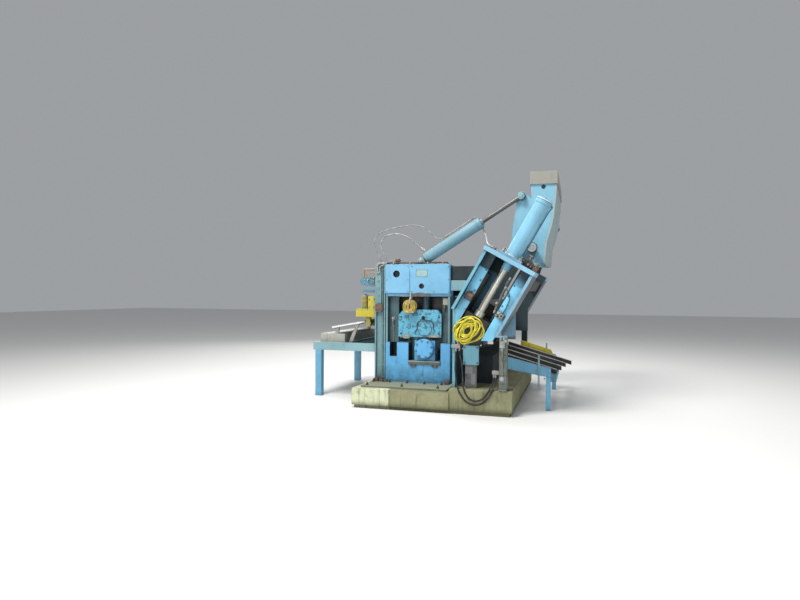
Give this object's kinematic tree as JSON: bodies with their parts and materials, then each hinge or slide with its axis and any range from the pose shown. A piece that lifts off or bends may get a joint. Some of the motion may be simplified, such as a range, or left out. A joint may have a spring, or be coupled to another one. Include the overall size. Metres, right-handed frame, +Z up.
{
  "type": "roller leveler",
  "caption": "Roller leveler stand on a concrete plinth: pinch rolls in a window frame, leaning press slides, a swinging table arm with a lift cylinder, and entry and exit tables",
  "frame": {"origin": "on the floor, under the middle of the whole machine", "axes": "+X along the strip towards the entry table, -Y to the operator side, +Z up"},
  "size_m": [3.96, 3.368, 3.398],
  "materials": {
    "blue_enamel": "satin enamel, scuffed at the edges",
    "plinth_concrete": "rough, stained",
    "ground_steel": "ground",
    "rod_steel": "polished, oily",
    "worn_steel": "worn through to bare steel",
    "cream_enamel": "satin, dusty",
    "yellow_enamel": "satin enamel, chipped",
    "dark_steel": "oily",
    "grey_steel": "satin, dusty",
    "black_rubber": "matt",
    "yellow_hose": "satin, dirty"
  },
  "bodies": {
    "frame": {"arm_brackets": "blue_enamel", "bed_beam": "blue_enamel", "bridge_hoods": "dark_steel", "bridge_plates": "blue_enamel", "crown_beam": "blue_enamel", "crowns": "blue_enamel", "entry_cross_beams": "blue_enamel", "entry_side_guide": "yellow_enamel", "entry_side_rails": "blue_enamel", "exit_apron": "grey_steel", "exit_cross_beams": "blue_enamel", "exit_guard": "yellow_enamel", "exit_posts": "blue_enamel", "exit_roller_bearings": "grey_steel", "exit_side_rails": "blue_enamel", "exit_tray": "cream_enamel", "hanging_hose_a": "black_rubber", "hanging_hose_b": "black_rubber", "head_hose_a": "black_rubber", "head_hose_b": "black_rubber", "hose_unions": "grey_steel", "keeper_bars": "dark_steel", "lift_clevises": "blue_enamel", "lift_hose_a": "black_rubber", "lift_hose_b": "black_rubber", "lower_chocks": "blue_enamel", "plinth": "plinth_concrete", "press_cylinders": "blue_enamel", "roll_housings": "blue_enamel", "skid_bars": "dark_steel", "slide_guides": "dark_steel", "slide_left_plates": "blue_enamel", "slide_right_plates": "blue_enamel", "slide_tie_beam": "dark_steel", "slide_top_plates": "blue_enamel", "slide_webs": "blue_enamel", "sole_plates": "blue_enamel", "stop_plates": "grey_steel", "table_legs": "blue_enamel", "valve_block": "blue_enamel", "window_cheeks": "blue_enamel", "window_hose_coil": "yellow_hose"},
    "lower_roll": {"lower_roll": "ground_steel"},
    "upper_set": {"upper_chocks": "blue_enamel", "upper_yoke": "dark_steel"},
    "upper_roll": {"upper_roll": "ground_steel"},
    "press_carriage": {"press_rods": "rod_steel", "crossheads": "dark_steel", "carriage_beam": "dark_steel", "carriage_hose_coil": "yellow_hose"},
    "bending_roll": {"bending_roll": "ground_steel"},
    "arm": {"arm_side_plates": "blue_enamel", "arm_table_plate": "worn_steel", "arm_cross_beams": "blue_enamel", "arm_tip_block": "cream_enamel", "arm_pivot_shaft": "dark_steel"},
    "lift_barrels": {"lift_barrels": "blue_enamel", "lift_pipes": "grey_steel"},
    "lift_rods": {"lift_rods": "rod_steel"},
    "exit_roller": {"exit_roller": "ground_steel"}
  },
  "joints": [
    {"name": "arm_swing", "type": "hinge", "parent": "frame", "child": "arm", "pos_m": [1.456, 0, 2.302], "axis": [0, 1, 0], "range_deg": [-25, 12]},
    {"name": "lift_barrel_tilt", "type": "hinge", "parent": "frame", "child": "lift_barrels", "pos_m": [-0.171, 0, 2.133], "axis": [0, 1, 0], "range_deg": [-3, 1.5], "deforming": ["lift_hose_a", "lift_hose_b", "head_hose_a", "head_hose_b"]},
    {"name": "lift_rod_slide", "type": "slide", "parent": "lift_barrels", "child": "lift_rods", "axis": [0.8483, 0, 0.5296], "range_m": [-0.33, 0.16]},
    {"name": "press_slide", "type": "slide", "parent": "frame", "child": "press_carriage", "axis": [0.4924, 0, 0.8704], "range_m": [0, 0.6]},
    {"name": "bending_roll_spin", "type": "hinge", "parent": "press_carriage", "child": "bending_roll", "pos_m": [0.60618, 0, 0.97839], "axis": [0, 1, 0], "continuous": true},
    {"name": "upper_roll_lift", "type": "slide", "parent": "frame", "child": "upper_set", "axis": [0, 0, 1], "range_m": [0, 0.1]},
    {"name": "upper_roll_spin", "type": "hinge", "parent": "upper_set", "child": "upper_roll", "pos_m": [-0.106, 0, 1.113], "axis": [0, 1, 0], "continuous": true},
    {"name": "lower_roll_spin", "type": "hinge", "parent": "frame", "child": "lower_roll", "pos_m": [-0.106, 0, 0.821], "axis": [0, 1, 0], "continuous": true},
    {"name": "exit_roller_spin", "type": "hinge", "parent": "frame", "child": "exit_roller", "pos_m": [-1.061, 0, 1.17], "axis": [0, 1, 0], "continuous": true}
  ],
  "couplings": [
    {"joint": "lift_barrel_tilt", "follows": "arm_swing", "ratio": 0.112},
    {"joint": "lift_rod_slide", "follows": "arm_swing", "m_per_rad": 0.744}
  ]
}
